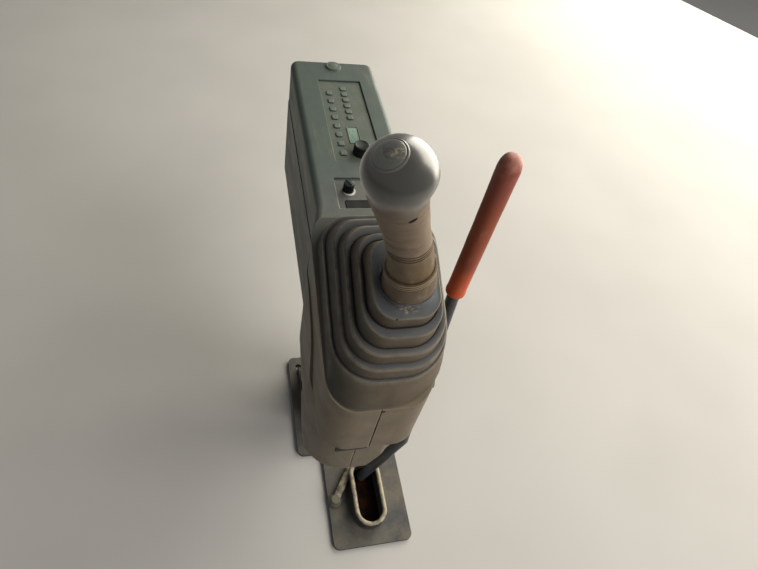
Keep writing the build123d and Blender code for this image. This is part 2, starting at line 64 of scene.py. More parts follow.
# %% Camera
EYE = Vector((-0.1585, -0.470, 0.927))
RIGHT = Vector((0.96717, -0.18906, 0.16981))
UP = Vector((0.04109, 0.77577, 0.62968))
BACK = -Vector((0.25078, 0.60203, -0.75807))
camera_data = bpy.data.cameras.new("operator_view")
camera_data.sensor_width = 36.0
camera_data.lens = 27.07
camera_data.clip_start = 0.01
camera = bpy.data.objects.new("operator_view", camera_data)
turn = Matrix((RIGHT, UP, BACK)).transposed().to_4x4()
camera.matrix_world = Matrix.Translation(EYE) @ turn
bpy.context.collection.objects.link(camera)
bpy.context.scene.camera = camera
print("camera at", tuple(round(value, 3) for value in EYE))

# %% [markdown]
# Colours are written as the eye reads them on a screen, from 0 to 255, and turned into the linear
# values that a shader wants. One small helper adds a node and sets or joins its inputs, so that
# each finish below reads as a short recipe. Places are written in millimetres.

# %% Colour and node helpers
def tone(red, green, blue):
    """A screen colour from 0 to 255 as the linear colour that a shader wants."""
    parts = [value / 255 for value in (red, green, blue)]
    linear = [part / 12.92 if part <= 0.04045 else ((part + 0.055) / 1.055) ** 2.4 for part in parts]
    return (*linear, 1.0)


def at(x, y, z):
    """A place in millimetres as a move in metres."""
    return Matrix.Translation(Vector((x, y, z)) * MM)


class Recipe:
    """A finish in the making: its material, its shader and short ways to add nodes."""

    def __init__(self, name):
        self.material = bpy.data.materials.new(name)
        self.material.use_nodes = True
        self.tree = self.material.node_tree
        self.shader = self.tree.nodes["Principled BSDF"]
        self.place = self.put("TexCoord", {})["Object"]
        self.colour = None

    def join(self, socket, value):
        if isinstance(value, bpy.types.NodeSocket):
            self.tree.links.new(value, socket)
        else:
            socket.default_value = value

    def put(self, kind, inputs, **settings):
        node = self.tree.nodes.new("ShaderNode" + kind)
        for key, value in settings.items():
            setattr(node, key, value)
        for key, value in inputs.items():
            self.join(node.inputs[key], value)
        return node.outputs

    def noise(self, scale, detail=4.0, roughness=0.55, distortion=0.0, place=None):
        inputs = {
            "Vector": place or self.place, "Scale": scale, "Detail": detail,
            "Roughness": roughness, "Distortion": distortion,
        }
        return self.put("TexNoise", inputs)["Fac"]

    def stretched(self, x, y, z):
        """The object's coordinates stretched along its axes, for streaks and brushed marks."""
        return self.scaled(self.place, x, y, z)

    def step(self, value, low, high, to_low=0.0, to_high=1.0):
        """A smooth step of a value between two levels."""
        inputs = {"Value": value, "From Min": low, "From Max": high, "To Min": to_low, "To Max": to_high}
        return self.put("MapRange", inputs, interpolation_type="SMOOTHSTEP")["Result"]

    def math(self, operation, first, second=0.0):
        return self.put("Math", {0: first, 1: second}, operation=operation)["Value"]

    def times(self, first, second):
        return self.math("MULTIPLY", first, second)

    def mix(self, amount, first, second, blend="MIX"):
        node = self.put("Mix", {0: amount, 6: first, 7: second}, data_type="RGBA", blend_type=blend)
        return node[2]

    def lay(self, amount, shade, blend="MIX"):
        """Lay a shade over the colour so far."""
        self.colour = self.mix(amount, self.colour, shade, blend)

    def band(self, value, middles, half):
        """One where a value is near one of some levels."""
        near = 0.0
        for middle in middles:
            gap = self.math("ABSOLUTE", self.math("SUBTRACT", value, middle))
            near = self.math("MAXIMUM", self.step(gap, half * 1.4, half * 0.6), near)
        return near

    def facing(self, direction):
        """How far the surface faces a direction, from -1 to 1."""
        normal = self.put("NewGeometry", {})["Normal"]
        return self.put("VectorMath", {0: normal, 1: direction}, operation="DOT_PRODUCT")["Value"]

    def axis(self, name, place=None):
        return self.put("SeparateXYZ", {0: place or self.place})[name]

    def seen_from(self, matrix):
        """The object's coordinates, read in the frame of a tilted piece."""
        back = matrix.inverted()
        inputs = {"Vector": self.place, "Location": back.translation, "Rotation": back.to_euler()}
        return self.put("Mapping", inputs)["Vector"]

    def scaled(self, place, x, y, z):
        return self.put("Mapping", {"Vector": place, "Scale": (x, y, z)})["Vector"]

    def spot(self, place, size_x, size_y, size_z, soft=0.25):
        """One inside an ellipsoid about the middle of a place, nought outside it."""
        near = self.scaled(place, 1 / size_x, 1 / size_y, 1 / size_z)
        reach = self.put("VectorMath", {0: near}, operation="LENGTH")["Value"]
        return self.step(reach, 1.0 + soft, 1.0 - soft)

    def edges(self, radius):
        """Where an edge is within a radius: 0 on flats, up to 1 at a sharp edge."""
        soft = self.put("Bevel", {"Radius": radius}, samples=4)["Normal"]
        hard = self.put("NewGeometry", {})["Normal"]
        same = self.put("VectorMath", {0: soft, 1: hard}, operation="DOT_PRODUCT")["Value"]
        return self.step(same, 0.98, 0.80)

    def bump(self, height, distance, radius=None):
        inputs = {"Height": height, "Distance": distance, "Strength": 1.0}
        if radius:
            inputs["Normal"] = self.put("Bevel", {"Radius": radius}, samples=4)["Normal"]
        self.give("Normal", self.put("Bump", inputs)["Normal"])

    def give(self, name, value):
        """Set or join one of the shader's own inputs."""
        self.join(self.shader.inputs[name], value)

    def done(self, roughness, metallic=0.0):
        self.give("Base Color", self.colour)
        self.give("Roughness", roughness)
        self.give("Metallic", metallic)
        return self.material


print("colour check", [round(value, 3) for value in tone(107, 97, 82)])

# %% [markdown]
# Most hard parts age in the same way: two close shades in patches, a fine grain, settled dust on
# what faces up, and rubbed edges. One recipe with those four amounts covers them all.

# %% Aged finish
DUST = tone(122, 112, 94)
EDGE = 0.0008


def aged(name, shade, second, patch=22.0, grain=1100.0, grain_depth=0.05, dust=0.35, rough=(0.5, 0.75),
         metallic=0.0, rubbed=None, shine=0.5):
    """Patches of two shades, a grain, dust on the upper faces and rubbed edges."""
    recipe = Recipe(name)
    patches = recipe.step(recipe.noise(patch, 5.0), 0.35, 0.65)
    recipe.colour = recipe.mix(patches, shade, second)
    specks = recipe.noise(grain, 2.0)
    recipe.lay(0.35, recipe.step(specks, 0.3, 0.7, 0.72, 1.0), "MULTIPLY")
    if rubbed:
        worn = recipe.times(recipe.edges(EDGE * 1.6), recipe.step(recipe.noise(90.0), 0.3, 0.6))
        recipe.lay(worn, rubbed)
    upward = recipe.step(recipe.facing((0.0, 0.0, 1.0)), -0.1, 0.9)
    drift = recipe.times(upward, recipe.step(recipe.noise(patch * 2.2, 6.0, 0.65), 0.25, 0.7))
    drift = recipe.times(drift, dust)
    recipe.lay(drift, DUST)
    recipe.bump(specks, grain_depth * MM, EDGE)
    recipe.give("Specular IOR Level", shine)
    return recipe.done(recipe.step(patches, 0.0, 1.0, *rough), metallic)


# %% [markdown]
# Both covers are moulded in the same grained plastic. The rear top is grey-green and clean, and
# its darker tone there is partly painted shade. The nose under the operator's sleeve is brown with
# dust, so the shade follows the length of the console, with dirt in patches and long faint wipe marks.

# %% Cover finish
SCREW_HOLE_SHADE = at(-8.0, -212.0, 384.6)
NOSE_SEAM_SHADE = at(-10.0, -215.0, 340.0)


def cover_finish(name, clean_and_shaded_rear, middle, dusty, low):
    recipe = Recipe(name)
    along = recipe.axis("Y")
    wander = recipe.step(recipe.noise(14.0, 4.0), 0.2, 0.8, -0.05, 0.05)
    along = recipe.math("ADD", along, wander)
    # The rear's darker tone is partly painted shade.
    recipe.colour = recipe.mix(recipe.step(along, -0.02, 0.12), middle, clean_and_shaded_rear)
    recipe.colour = recipe.mix(recipe.step(along, -0.12, 0.0), dusty, recipe.colour)
    height = recipe.math("ADD", recipe.axis("Z"), recipe.step(recipe.noise(30.0), 0.2, 0.8, -0.02, 0.02))
    recipe.lay(recipe.step(height, 0.33, 0.18), low)
    patches = recipe.step(recipe.noise(38.0, 6.0, 0.62), 0.45, 0.72)
    recipe.lay(recipe.times(patches, 0.22), tone(52, 51, 46))
    wipes = recipe.noise(60.0, 5.0, 0.6, 0.4, recipe.stretched(1.0, 0.16, 0.5))
    recipe.lay(recipe.step(wipes, 0.55, 0.75, 0.0, 0.25), tone(132, 126, 108))
    specks = recipe.noise(1500.0, 2.0)
    recipe.lay(0.3, recipe.step(specks, 0.3, 0.7, 0.75, 1.0), "MULTIPLY")
    # The screw hole is not cut: it is a near-black spot of painted shade.
    hole_shade = recipe.spot(recipe.seen_from(SCREW_HOLE_SHADE), 0.0026, 0.004, 0.0026)
    recipe.lay(hole_shade, tone(12, 11, 10))
    # A dark line of painted shade lies along the seam's groove on the nose.
    seam_shade = recipe.spot(recipe.seen_from(NOSE_SEAM_SHADE), 0.0009, 0.03, 0.0455)
    recipe.lay(seam_shade, tone(18, 16, 14))
    rubbed = recipe.step(recipe.noise(55.0), 0.2, 0.6, 0.25, 0.8)
    outer = recipe.step(recipe.math("ABSOLUTE", recipe.axis("X")), 0.048, 0.056)
    ahead = recipe.step(recipe.axis("Y"), 0.045, 0.03)
    where = recipe.math("MAXIMUM", outer, ahead)
    worn = recipe.times(recipe.times(recipe.edges(0.0022), rubbed), where)
    recipe.lay(worn, tone(160, 152, 132))
    recipe.bump(specks, 0.06 * MM, 0.0018)
    return recipe.done(recipe.step(wipes, 0.3, 0.7, 0.62, 0.48))


upper_finish = cover_finish(
    "grained_upper_cover", tone(68, 81, 74), tone(88, 94, 90), tone(110, 98, 81), tone(108, 98, 82)
)
lower_finish = cover_finish(
    "grained_lower_cover", tone(66, 71, 66), tone(78, 76, 68), tone(108, 98, 83), tone(110, 101, 86)
)
print("cover finishes", upper_finish.name, lower_finish.name)

# %% [markdown]
# The frame's own nodes keep their shape and get their finish here. The finishes come first, with
# their shades and how they age, and then one row for each finish with the nodes that wear it.

# %% Finishes of the frame's nodes
steel_finish = aged(
    "zinc_steel", tone(150, 150, 146), tone(120, 118, 110), metallic=0.9, rough=(0.3, 0.5), dust=0.2
)
radio_finish = aged(
    "radio_plastic", tone(74, 86, 77), tone(82, 93, 85), patch=30.0, dust=0.2, rubbed=tone(120, 128, 118)
)
stand_finish = aged("stand_paint", tone(48, 50, 52), tone(60, 60, 58), dust=0.55, rubbed=tone(96, 88, 76))
floor_finish = aged(
    "floor_steel", tone(52, 57, 63), tone(68, 71, 72), patch=16.0, dust=0.5, rubbed=tone(118, 112, 98)
)
iron_finish = aged(
    "cast_iron", tone(92, 92, 90), tone(70, 68, 64), grain=500.0, grain_depth=0.3, metallic=0.6
)
lever_finish = aged(
    "lever_paint", tone(40, 44, 50), tone(60, 65, 70), dust=0.3, rough=(0.3, 0.45), rubbed=tone(96, 98, 100)
)
hose_finish = aged("hose_rubber", tone(30, 30, 31), tone(42, 42, 42), dust=0.3, rough=(0.6, 0.8))
knob_finish = aged("knob_plastic", tone(34, 37, 35), tone(58, 68, 64), dust=0.15, rough=(0.35, 0.5))
panel_finish = aged("panel_plastic", tone(80, 86, 83), tone(90, 94, 88), dust=0.2, rubbed=tone(150, 150, 138))
plate_finish = aged(
    "label_blank", tone(16, 20, 23), tone(26, 31, 34), dust=0.08, rough=(0.6, 0.75), shine=0.2
)
NODE_FINISHES = [
    (upper_finish, "upper_cover"),
    (lower_finish, "lower_cover"),
    (panel_finish, "switch_panel"),
    (radio_finish, "radio_face", "radio_buttons", "round_cap"),
    (stand_finish, "radio_chassis", "carrier_plate", "pedestal", "lever_bracket"),
    (floor_finish, "base_plate", "slot_collar"),
    (steel_finish, "pivot_washer", "joystick_rod", "gimbal_ring"),
    (lever_finish, "lock_lever_rod", "lock_lever_grip"),
    (iron_finish, "pivot_yoke", "valve_block"),
    (hose_finish, "valve_hoses", "boot_folds", "boot_collar"),
    (knob_finish, "volume_knob", "rotary_switch", "grip_cap", "joystick_grip"),
    (plate_finish, "radio_display", "label_plate"),
]
for finish, *node_names in NODE_FINISHES:
    for node_name in node_names:
        for material_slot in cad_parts[node_name].material_slots:
            material_slot.material = finish
print("finished nodes", sum(len(row) - 1 for row in NODE_FINISHES))

# %% [markdown]
# Every new piece ends in the same way. Its mesh is moved to its place, welded, turned to face
# outwards and shaded smooth between its sharp edges. Then it rides on a body of the frame.

# %% Finishing a piece
def add_piece(name, work, place, finish, stands_for=(), body="console", sharp=35.0):
    """Make a piece from mesh work done in millimetres."""
    to_metres = Matrix.Scale(MM, 4)
    bmesh.ops.transform(work, matrix=place @ to_metres if place else to_metres, verts=work.verts)
    bmesh.ops.remove_doubles(work, verts=work.verts, dist=1e-6)
    bmesh.ops.recalc_face_normals(work, faces=work.faces)
    for face in work.faces:
        face.smooth = True
    for edge in work.edges:
        edge.smooth = edge.calc_face_angle(0.0) < radians(sharp)
    mesh = bpy.data.meshes.new(name)
    work.to_mesh(mesh)
    work.free()
    mesh.materials.append(finish)
    piece = bpy.data.objects.new(name, mesh)
    bpy.context.collection.objects.link(piece)
    if body:
        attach(piece, body)
    if stands_for:
        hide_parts(*stands_for)
    print(name, len(mesh.polygons), "faces")
    return piece


# %% [markdown]
# Rubber boots, key caps, frames and slots are all stacks of rounded outlines. One outline starts
# as a four-cornered face whose corners are bevelled. Its face is taken out, and the loops that
# are left are bridged in turn. The rows of a stack are easy to read and to change.

# %% Stacks of rounded outlines
CORNER_STEPS = 9


def outline(work, height, left, right, front, rear, radii, steps=CORNER_STEPS, cuts=0):
    """A loop of edges: a rectangle with its own radius at each corner (front left, front right, rear)."""
    before = set(work.edges)
    corners = bmesh.ops.create_grid(work, x_segments=1, y_segments=1, size=1.0)["verts"]
    sized = []
    for corner in corners:
        is_left = corner.co.x < 0
        is_front = corner.co.y < 0
        radius = radii[2] if not is_front else radii[0] if is_left else radii[1]
        corner.co = (left if is_left else right, front if is_front else rear, height)
        sized.append((corner, radius))
    for corner, radius in sized:
        bmesh.ops.bevel(
            work, geom=[corner], offset=radius, affect="VERTICES", segments=steps, profile=0.5, material=-1
        )
    loop = [edge for edge in work.edges if edge not in before]
    faces = list({face for edge in loop for face in edge.link_faces})
    bmesh.ops.delete(work, geom=faces, context="FACES_ONLY")
    if cuts:
        longest = sorted(loop, key=lambda edge: edge.calc_length())[-4:]
        bmesh.ops.subdivide_edges(work, edges=longest, cuts=cuts)
        loop = [edge for edge in work.edges if edge not in before]
    return loop


def bridge(work, loops, close_high=False):
    """Skin a stack of loops, and cap its last one where asked."""
    for low, high in zip(loops, loops[1:]):
        bmesh.ops.bridge_loops(work, edges=low + high)
    if close_high:
        bmesh.ops.contextual_create(work, geom=loops[-1])


print("corner steps", CORNER_STEPS)

# %% [markdown]
# The boot sits on the slanted seat of the upper cover. Each fold is a riser, a thin rounded lip
# and a tread that runs in to a narrow crease at the foot of the next riser. The rows give the
# fold's foot and top, lean to the left included. Above the last fold a smooth shoulder rises to
# the foot of the grip's collar. A colour attribute remembers what each loop is (tread, lip or
# crease), so that dust, wear, the painted shade of the creases, the painted reflection of the
# treads and the painted highlight of the lips follow the folds.

# %% Boot rows
SEAT = at(0.0, -112.07, 435.2) @ Matrix.Rotation(radians(25.0), 4, "X")
FOLDS = [
    # height, left, right, front, rear, left radius, right radius, rear radius
    ((0.0, -66.5, 68.0, -110.0, 99.5, 36.0, 70.0, 32.0), (30.0, -63.5, 61.5, -83.0, 96.5, 46.0, 52.0, 30.0)),
    ((30.0, -59.5, 57.0, -78.0, 91.0, 42.0, 46.0, 28.0), (50.0, -55.0, 53.5, -72.5, 84.0, 36.0, 44.0, 26.0)),
    ((50.0, -51.5, 49.5, -66.0, 76.0, 33.0, 40.0, 25.0), (70.0, -48.5, 46.0, -60.5, 69.0, 31.0, 38.0, 24.0)),
    ((70.0, -44.6, 41.0, -54.5, 61.0, 29.0, 34.0, 22.0), (94.0, -41.6, 36.5, -48.0, 54.0, 27.0, 30.0, 21.0)),
    ((94.0, -37.6, 32.0, -38.0, 47.0, 24.0, 26.0, 19.0), (112.0, -35.4, 29.0, -34.0, 42.0, 22.0, 23.0, 19.0)),
]
COLLAR_FOOT = (-30.5, 22.0, -25.0, 28.5, 25.0, 25.0, 25.0)
RISER = [
    # share of the riser, grown by, lowered by, tread, lip, crease
    (0.0, 0.0, 0.6, 0.0, 0.0, 0.8),
    (0.08, -0.2, 0.0, 0.0, 0.0, 0.2),
    (0.35, -0.5, 0.0, 0.0, 0.0, 0.0),
    (0.65, -0.4, 0.0, 0.0, 0.0, 0.0),
    (0.88, 0.1, 0.0, 0.0, 0.2, 0.0),
    (1.0, 0.5, 1.5, 0.1, 0.8, 0.0),
    (1.0, 0.3, 0.6, 0.4, 1.0, 0.0),
    (1.0, -0.5, 0.0, 0.8, 0.9, 0.0),
    (1.0, -1.6, 0.1, 1.0, 0.2, 0.0),
]
TREAD_END = [
    # grown from the next foot, lowered by, tread, lip, crease
    (1.7, 0.5, 1.0, 0.0, 0.1),
    (1.0, 1.0, 0.7, 0.0, 0.8),
    (0.6, 1.9, 0.0, 0.0, 1.0),
    (0.1, 1.9, 0.0, 0.0, 1.0),
]
SHOULDER = [
    # share of the way to the collar's foot, grown by, risen by, tread, lip, crease
    (0.0, -3.6, 0.0, 1.0, 0.0, 0.0),
    (0.35, -4.4, 0.1, 1.0, 0.0, 0.0),
    (0.7, -3.2, 0.42, 1.0, 0.0, 0.0),
    (0.9, -1.4, 0.8, 1.0, 0.0, 0.0),
    (1.0, -1.0, 1.0, 1.0, 0.0, 0.0),
    (1.0, -2.6, 1.04, 1.0, 0.0, 0.2),
    (1.0, -6.0, 1.0, 1.0, 0.0, 1.0),
]
FLAT = 112.2
LEAST = 113.6
TILT = Vector((-0.2826, 0.3366, 0.898))
FOOT_MIDDLE = Vector((-3.0, 1.06, 121.06)) - 3.4 * TILT


def raise_shoulder(loop, risen):
    """Raise a loop of the shoulder to the collar's foot, which lies square to the leaning grip."""
    for corner in {corner for edge in loop for corner in edge.verts}:
        away = corner.co - FOOT_MIDDLE
        square = FOOT_MIDDLE.z - (TILT.x * away.x + TILT.y * away.y) / TILT.z
        corner.co.z = FLAT + risen * (max(LEAST, square) - FLAT)


def fold_loop(work, zones, row, grow, lower, marks):
    """One loop of the boot with its zone marks."""
    height, left, right, front, rear, left_r, right_r, rear_r = row
    radii = (left_r + grow, right_r + grow, rear_r + grow)
    loop = outline(
        work, height - lower, left - grow, right + grow, front - grow, rear + grow, radii, CORNER_STEPS, 5
    )
    for edge in loop:
        for corner in edge.verts:
            corner[zones] = (*marks, 1.0)
    return loop


def boot_stack(name, folds, following, finish):
    """The skin of some folds, from their foot to the crease of the fold that follows."""
    work = bmesh.new()
    zones = work.verts.layers.float_color.new("fold_zones")
    loops = [fold_loop(work, zones, folds[0][0], -1.0, 5.0, (0.0, 0.0, 1.0))]
    for number, (foot, top) in enumerate(folds):
        for share, grow, lower, *marks in RISER:
            row = tuple(a + (b - a) * share for a, b in zip(foot, top))
            if number == 0 and share < 0.01 and following:
                marks = (0.0, 0.9, 0.0)
            loops.append(fold_loop(work, zones, row, grow, lower, marks))
        after = folds[number + 1][0] if number + 1 < len(folds) else following
        for grow, lower, *marks in TREAD_END if after else ():
            loops.append(fold_loop(work, zones, after, grow, lower, marks))
    for share, grow, risen, *marks in SHOULDER if not following else ():
        row = (FLAT, *(a + (b - a) * share for a, b in zip(folds[-1][1][1:], COLLAR_FOOT)))
        loops.append(fold_loop(work, zones, row, grow, 0.0, marks))
        raise_shoulder(loops[-1], risen)
    bridge(work, loops)
    for corner in work.verts:
        wave = noise.noise_vector(corner.co * 0.03) * 0.5 + noise.noise_vector(corner.co * 0.11) * 0.16
        corner.co += wave * min(1.0, corner.co.z / 12.0 if corner.co.z > 0 else 0.0)
    piece = add_piece(name, work, None, finish, ("boot_folds",), body=None)
    piece.data.transform(SEAT)
    skin = piece.modifiers.new("skin", "SOLIDIFY")
    skin.thickness = 1.6 * MM
    skin.offset = -1.0
    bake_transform(piece)


print("folds", len(FOLDS))

# %% [markdown]
# The rubber is near black. Hand dust has settled on the risers at the front, which look brown.
# The treads' cool grey is a painted reflection, and treads and risers are painted darker toward
# the left as shade. The lips are paler, partly rubbed and partly a painted highlight. The creases
# are painted near black as shade.

# %% Boot finish
FLECKS = at(-5.0, -184.0, 531.5)
DARK_DOT = at(-16.0, -190.0, 522.2)


def boot_finish():
    recipe = Recipe("boot_rubber")
    zones = recipe.put("Attribute", {}, attribute_name="fold_zones")["Color"]
    parts = recipe.put("SeparateColor", {0: zones})
    # Darker toward the left: painted shade on treads and risers. The risers' brown toward the front is hand
    # dust.
    side = recipe.step(recipe.axis("X"), -0.066, -0.012)
    front = recipe.step(recipe.axis("Y"), -0.03, -0.15)
    handled = recipe.times(recipe.math("MAXIMUM", front, 0.25), recipe.math("MAXIMUM", side, 0.12))
    patches = recipe.step(recipe.noise(34.0, 6.0, 0.6), 0.3, 0.7)
    riser = recipe.mix(handled, tone(46, 45, 40), tone(92, 81, 67))
    riser = recipe.mix(recipe.times(patches, 0.35), riser, tone(66, 60, 52))
    # The treads' cool grey is a painted reflection.
    tread = recipe.mix(recipe.math("MAXIMUM", side, 0.25), tone(42, 44, 46), tone(84, 87, 90))
    tread = recipe.mix(recipe.times(patches, 0.3), tread, tone(64, 62, 56))
    recipe.colour = recipe.mix(parts["Red"], riser, tread)
    # The lips are painted paler: partly rubbed, partly a painted highlight.
    lip_wear_and_highlight = recipe.times(parts["Green"], recipe.step(recipe.noise(80.0), 0.25, 0.6, 0.25, 0.75))
    recipe.lay(lip_wear_and_highlight, tone(120, 112, 98))
    # The creases are painted near black: painted shade.
    recipe.lay(recipe.times(parts["Blue"], 0.85), tone(26, 25, 22))
    flecks = recipe.spot(recipe.seen_from(FLECKS), 0.010, 0.0045, 0.006, 0.6)
    flecks = recipe.times(flecks, recipe.step(recipe.noise(330.0, 5.0, 0.7), 0.5, 0.62))
    recipe.lay(recipe.times(flecks, 0.8), tone(176, 164, 138))
    dot = recipe.spot(recipe.seen_from(DARK_DOT), 0.001, 0.001, 0.001)
    recipe.lay(dot, tone(14, 12, 10))
    stains = recipe.step(recipe.noise(60.0, 7.0, 0.7), 0.62, 0.75)
    recipe.lay(recipe.times(stains, 0.4), tone(128, 112, 92))
    specks = recipe.noise(900.0, 3.0)
    recipe.bump(specks, 0.08 * MM)
    return recipe.done(recipe.step(patches, 0.0, 1.0, 0.52, 0.68))


boot_rubber = boot_finish()
boot_stack("boot_lower_folds", FOLDS[:3], FOLDS[3][0], boot_rubber)
boot_stack("boot_upper_folds", FOLDS[3:], None, boot_rubber)

# %% [markdown]
# The grip is a turned form about an axis that leans to the operator and bows a little where the
# sleeve ends. An outline of radius and height is spun round and then moved to that axis. The head
# is fuller at its left, under the heel of the hand, and tucked in at its right, so two short
# tables say how far its points are moved at each height.

# %% Turned forms on the leaning axis
COLLAR_BASE = Vector((-3.0, -162.27, 545.37))
KNOB = COLLAR_BASE + Vector((-38.0, -10.0, 128.6))
REACH = (KNOB - COLLAR_BASE).length
KNOB_R = 29.0
BEND = 4.0
LEFT_FULLER = [
    # moved out, at a height
    (0.0, 45.0), (1.2, 53.0), (2.0, 61.0), (2.7, 75.0), (2.9, 87.0), (2.6, 100.0), (1.7, 110.0), (0.2, 119.0),
    (-1.5, 127.0), (-1.8, 133.0), (-1.0, 139.0), (-0.2, 145.0), (0.0, 150.0),
]
RIGHT_FULLER = [
    (0.0, 42.0), (-0.9, 50.0), (-1.6, 58.0), (-3.0, 70.0), (-3.5, 82.0), (-4.2, 97.0), (-5.6, 110.0),
    (-6.8, 118.0), (-6.2, 123.0), (-3.4, 129.0), (-0.6, 134.0), (0.0, 138.0),
]


def spun(work, pairs, steps=72):
    """Spin radius and height pairs round the Z axis."""
    corners = [work.verts.new((radius, 0.0, height)) for radius, height in pairs]
    edges = [work.edges.new(pair) for pair in zip(corners, corners[1:])]
    bmesh.ops.spin(
        work, geom=corners + edges, cent=(0, 0, 0), axis=(0, 0, 1), angle=2 * pi, steps=steps,
        use_merge=True, use_duplicate=False,
    )
    bmesh.ops.remove_doubles(work, verts=work.verts, dist=1e-4)


def smooth_line(keys, steps=4):
    """Points on a smooth line through radius and height keys."""
    line = []
    for index in range(len(keys) - 1):
        a, b, c, d = (Vector(keys[max(0, min(len(keys) - 1, index + k))]) for k in (-1, 0, 1, 2))
        for step in range(steps):
            t = step / steps
            bend = (2 * a - 5 * b + 4 * c - d) * t**2
            line.append(0.5 * (2 * b + (c - a) * t + bend + (3 * b - a - 3 * c + d) * t**3))
    return [tuple(point) for point in line] + [tuple(keys[-1])]


lean_up = (KNOB - COLLAR_BASE).normalized()
lean_right = Vector((1.0, 0.0, 0.0))
lean_right = (lean_right - lean_up * lean_right.dot(lean_up)).normalized()
lean_back = lean_up.cross(lean_right)
LEAN = Matrix.Translation(COLLAR_BASE * MM) @ Matrix((lean_right, lean_back, lean_up)).transposed().to_4x4()


def read_off(line, height):
    """The value of a line of value and height pairs at a height."""
    for (low_value, low), (high_value, high) in zip(line, line[1:]):
        if low <= height < high:
            return low_value + (high_value - low_value) * (height - low) / (high - low)
    return 0.0


left_line = smooth_line(LEFT_FULLER, 6)
right_line = smooth_line(RIGHT_FULLER, 6)


def bow(work):
    """Bow a turned form to the right at mid height; fill the head's left side, tuck in its right."""
    for corner in work.verts:
        height = corner.co.z
        share = corner.co.x / max(1.0, corner.co.xy.length)
        if share < 0:
            corner.co.x += share * read_off(left_line, height)
        else:
            corner.co.x += share * read_off(right_line, height)
        corner.co.x += BEND * sin(pi * min(1.0, max(0.0, height / REACH)))


print("reach", round(REACH, 1))

# %% [markdown]
# The sleeve and the collar are brown with hand dirt, in faint rings where the hand slides. The
# knob is dark and polished by years of use. All of that follows the height along the leaning
# axis, so the finish first reads its place in the grip's own frame.

# %% Grip finish
SLIT_SHADE = LEAN @ (at(3.6, -24.8, 112.7) @ Matrix.Rotation(radians(-34.0), 4, "Y"))
SCUFF = LEAN @ at(-1.5, -6.5, 163.0)
POLISHED = 0.3


def grip_worn(name, head):
    recipe = Recipe(name)
    inside = recipe.seen_from(LEAN)
    wander = recipe.step(recipe.noise(70.0, 4.0), 0.2, 0.8, -0.004, 0.004)
    height = recipe.math("ADD", recipe.axis("Z", inside), wander)
    recipe.colour = recipe.mix(recipe.step(height, 0.012, 0.030), tone(86, 71, 54), tone(92, 74, 50))
    recipe.lay(recipe.step(height, 0.050, 0.062), tone(110, 93, 76))
    recipe.lay(recipe.step(height, 0.112, 0.130), tone(88, 77, 64))
    rings = recipe.noise(55.0, 5.0, 0.6, 0.3, recipe.scaled(inside, 0.5, 0.5, 4.0))
    handled = recipe.step(height, 0.136, 0.122)
    rings = recipe.times(recipe.step(rings, 0.5, 0.72, 0.0, 0.55), handled)
    recipe.lay(rings, tone(58, 49, 38))
    pale = recipe.step(recipe.noise(48.0, 6.0, 0.65, 0.5), 0.5, 0.72)
    pale = recipe.times(pale, recipe.times(handled, 0.4))
    recipe.lay(pale, tone(150, 132, 106))
    recipe.lay(recipe.step(height, 0.126, 0.138), head)
    # The sleeve's three grooves are painted dark: painted shade.
    groove_shade = recipe.band(recipe.axis("Z", inside), (0.0532, 0.0562, 0.0592), 0.0007)
    recipe.lay(recipe.times(groove_shade, 0.85), tone(26, 21, 16))
    # The collar's rings are painted pale on their tops as a painted highlight, and dark between them as
    # painted shade.
    ring_highlight = recipe.band(recipe.axis("Z", inside), (0.0172, 0.0198, 0.0224), 0.0005)
    recipe.lay(recipe.times(ring_highlight, 0.75), tone(158, 140, 112))
    ring_gap_shade = recipe.band(recipe.axis("Z", inside), (0.0159, 0.0185, 0.0211), 0.0005)
    recipe.lay(recipe.times(ring_gap_shade, 0.8), tone(30, 25, 20))
    # The slit is not cut: it is a dark lens of painted shade.
    slit_shade = recipe.spot(recipe.seen_from(SLIT_SHADE), 0.0041, 0.008, 0.0019)
    recipe.lay(slit_shade, tone(12, 10, 8))
    scuff = recipe.spot(recipe.seen_from(SCUFF), 0.006, 0.005, 0.004, 0.5)
    scuff = recipe.times(scuff, recipe.step(recipe.noise(260.0, 6.0, 0.7, 1.5), 0.46, 0.62, 0.0, 0.75))
    recipe.lay(scuff, tone(168, 158, 132))
    specks = recipe.noise(1300.0, 2.0)
    recipe.bump(specks, 0.02 * MM)
    smudges = recipe.step(recipe.noise(90.0, 6.0, 0.7), 0.35, 0.7, 0.0, 0.14)
    rough = recipe.math("ADD", recipe.step(height, 0.118, 0.134, 0.5, POLISHED), smudges)
    recipe.give("Specular IOR Level", recipe.step(slit_shade, 0.1, 0.7, 0.6, 0.05))
    recipe.give("Coat Weight", recipe.step(height, 0.12, 0.134, 0.0, 1.0))
    recipe.give("Coat Roughness", 0.26)
    recipe.give("Coat IOR", 1.7)
    return recipe.done(rough)


grip_finish = grip_worn("worn_grip", tone(46, 45, 40))
# The cap's paler head tone is a painted reflection.
cap_worn_with_reflection = grip_worn("worn_cap_painted_reflection", tone(78, 79, 71))

# %% [markdown]
# The collar is the top of the boot, drawn tight round the grip, and ends in three thin rings. The
# sleeve above it has three fine grooves. Both are outlines spun about the leaning axis.

